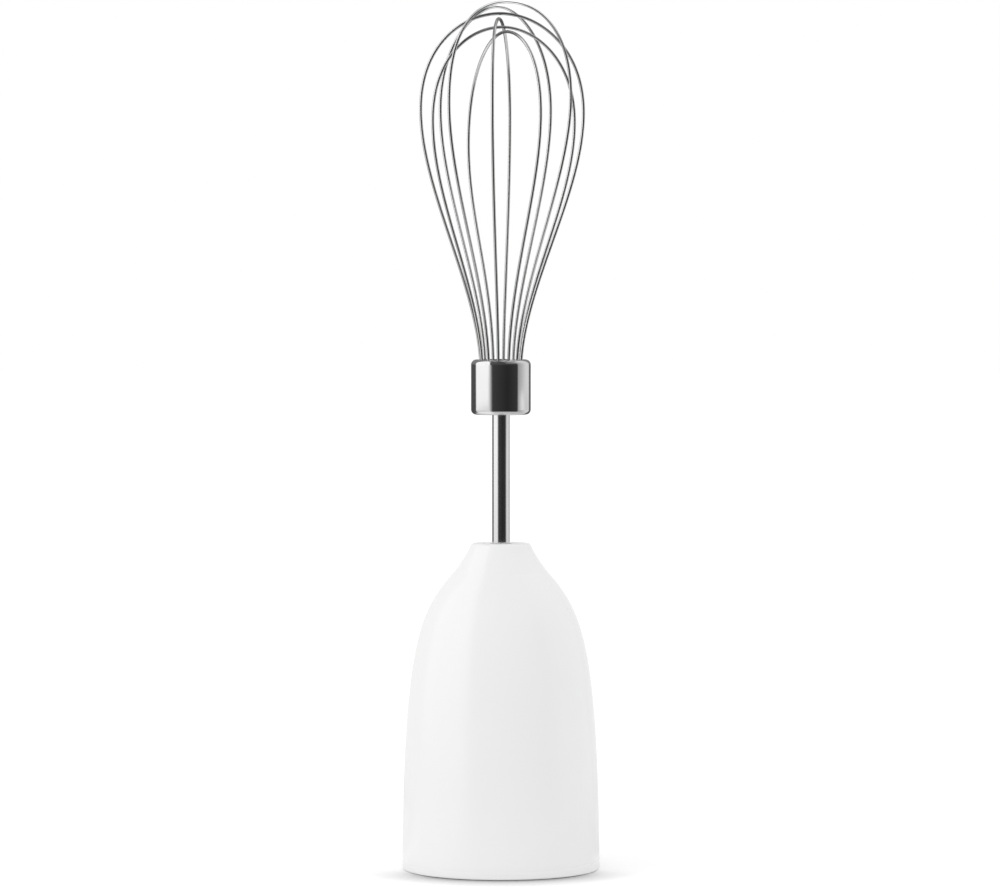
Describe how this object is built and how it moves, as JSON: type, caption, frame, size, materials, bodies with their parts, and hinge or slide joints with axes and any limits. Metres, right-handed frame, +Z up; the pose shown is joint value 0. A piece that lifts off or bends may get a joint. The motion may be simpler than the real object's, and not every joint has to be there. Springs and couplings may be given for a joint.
{
  "type": "whisk attachment",
  "caption": "Whisk attachment of a stick blender: white bell-shaped gear housing on its open coupling mouth, steel shaft and ferrule, balloon whisk of steel wire loops.",
  "frame": {"origin": "centre of the mouth rim, on the surface that the attachment stands on", "axes": "+Z up along the axis of the housing, shaft and whisk; the front faces -Y"},
  "size_m": [0.0572, 0.0572, 0.25],
  "materials": {
    "housing_white": "high gloss",
    "ring_white": "satin",
    "case_nylon": "satin",
    "gear_acetal": "satin",
    "carrier_nylon": "satin",
    "bush_bronze": "satin",
    "sun_brass": "machined",
    "seal_rubber": "matte",
    "coupling_black": "satin",
    "fastener_steel": "zinc plated",
    "turned_steel": "turned",
    "polished_steel": "mirror polished",
    "holder_grey": "satin"
  },
  "bodies": {
    "housing": {"housing_shell": "housing_white", "coupling_ring": "ring_white", "ring_screws": "fastener_steel", "gear_case": "case_nylon", "ring_gear": "gear_acetal", "gear_cover": "case_nylon", "unit_screws": "fastener_steel", "case_gasket": "seal_rubber", "lower_bush": "bush_bronze", "upper_bush": "bush_bronze", "input_bush": "bush_bronze", "shaft_seal": "seal_rubber"},
    "carrier": {"planet_carrier": "carrier_nylon", "retainer_plate": "turned_steel", "planet_pins": "turned_steel", "output_washer": "fastener_steel", "output_clip": "fastener_steel", "shaft_spring": "fastener_steel"},
    "drive": {"drive_coupling": "coupling_black", "input_shaft": "turned_steel", "input_washer": "fastener_steel", "input_clip": "fastener_steel", "sun_gear": "sun_brass"},
    "planet_1": {"planet_gear_1": "gear_acetal"},
    "planet_2": {"planet_gear_2": "gear_acetal"},
    "planet_3": {"planet_gear_3": "gear_acetal"},
    "whisk": {"whisk_shaft": "polished_steel", "ferrule": "polished_steel", "wire_holder": "holder_grey", "wire_loop_1": "polished_steel", "wire_loop_2": "polished_steel", "wire_loop_3": "polished_steel", "wire_loop_4": "polished_steel", "wire_loop_5": "polished_steel", "wire_loop_6": "polished_steel"}
  },
  "joints": [
    {"name": "whisk_spin", "type": "hinge", "parent": "housing", "child": "carrier", "pos_m": [0, 0, 0.05], "axis": [0, 0, 1], "continuous": true},
    {"name": "drive_spin", "type": "hinge", "parent": "housing", "child": "drive", "pos_m": [0, 0, 0.03], "axis": [0, 0, 1], "continuous": true},
    {"name": "planet_1_spin", "type": "hinge", "parent": "carrier", "child": "planet_1", "pos_m": [0.01044, 0, 0.0445], "axis": [0, 0, 1], "continuous": true},
    {"name": "planet_2_spin", "type": "hinge", "parent": "carrier", "child": "planet_2", "pos_m": [-0.00522, 0.00904, 0.0445], "axis": [0, 0, 1], "continuous": true},
    {"name": "planet_3_spin", "type": "hinge", "parent": "carrier", "child": "planet_3", "pos_m": [-0.00522, -0.00904, 0.0445], "axis": [0, 0, 1], "continuous": true},
    {"name": "whisk_pull", "type": "slide", "parent": "carrier", "child": "whisk", "axis": [0, 0, 1], "range_m": [0, 0.036]}
  ],
  "couplings": [
    {"joint": "drive_spin", "follows": "whisk_spin", "ratio": 6},
    {"joint": "planet_1_spin", "follows": "whisk_spin", "ratio": -2.5},
    {"joint": "planet_2_spin", "follows": "whisk_spin", "ratio": -2.5},
    {"joint": "planet_3_spin", "follows": "whisk_spin", "ratio": -2.5}
  ]
}
